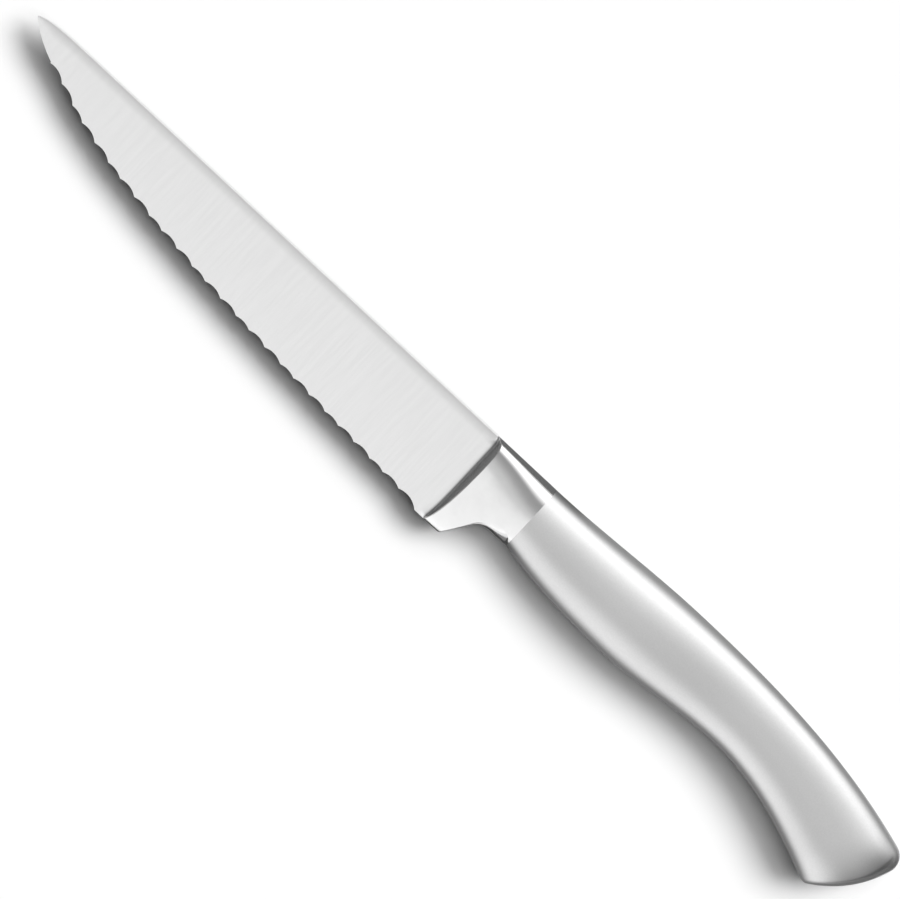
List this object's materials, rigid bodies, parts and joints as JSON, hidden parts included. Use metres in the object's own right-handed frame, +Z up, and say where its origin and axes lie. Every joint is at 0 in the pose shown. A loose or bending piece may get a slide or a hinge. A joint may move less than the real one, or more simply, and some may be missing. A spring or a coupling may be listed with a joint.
{
  "type": "steak knife",
  "caption": "Forged steak knife with a scalloped cutting edge, an integral polished bolster and a hollow satin steel handle with a hooked butt, lying on its side.",
  "frame": {"origin": "middle of the knife's box, on the surface that it lies on", "axes": "+X from the point to the butt, +Y from the edge to the spine, +Z up out of the blade's left side"},
  "size_m": [0.2326, 0.0242, 0.015],
  "materials": {
    "ground_steel": "satin-ground blade, polished bolster",
    "satin_steel": "fine satin",
    "weld_steel": "ground flush, fine satin",
    "cement": "matt filler"
  },
  "bodies": {
    "root": {"blade_with_bolster": "ground_steel", "left_handle_shell": "satin_steel", "right_handle_shell": "satin_steel", "handle_seam_weld": "weld_steel", "tang_cement": "cement"}
  },
  "joints": []
}
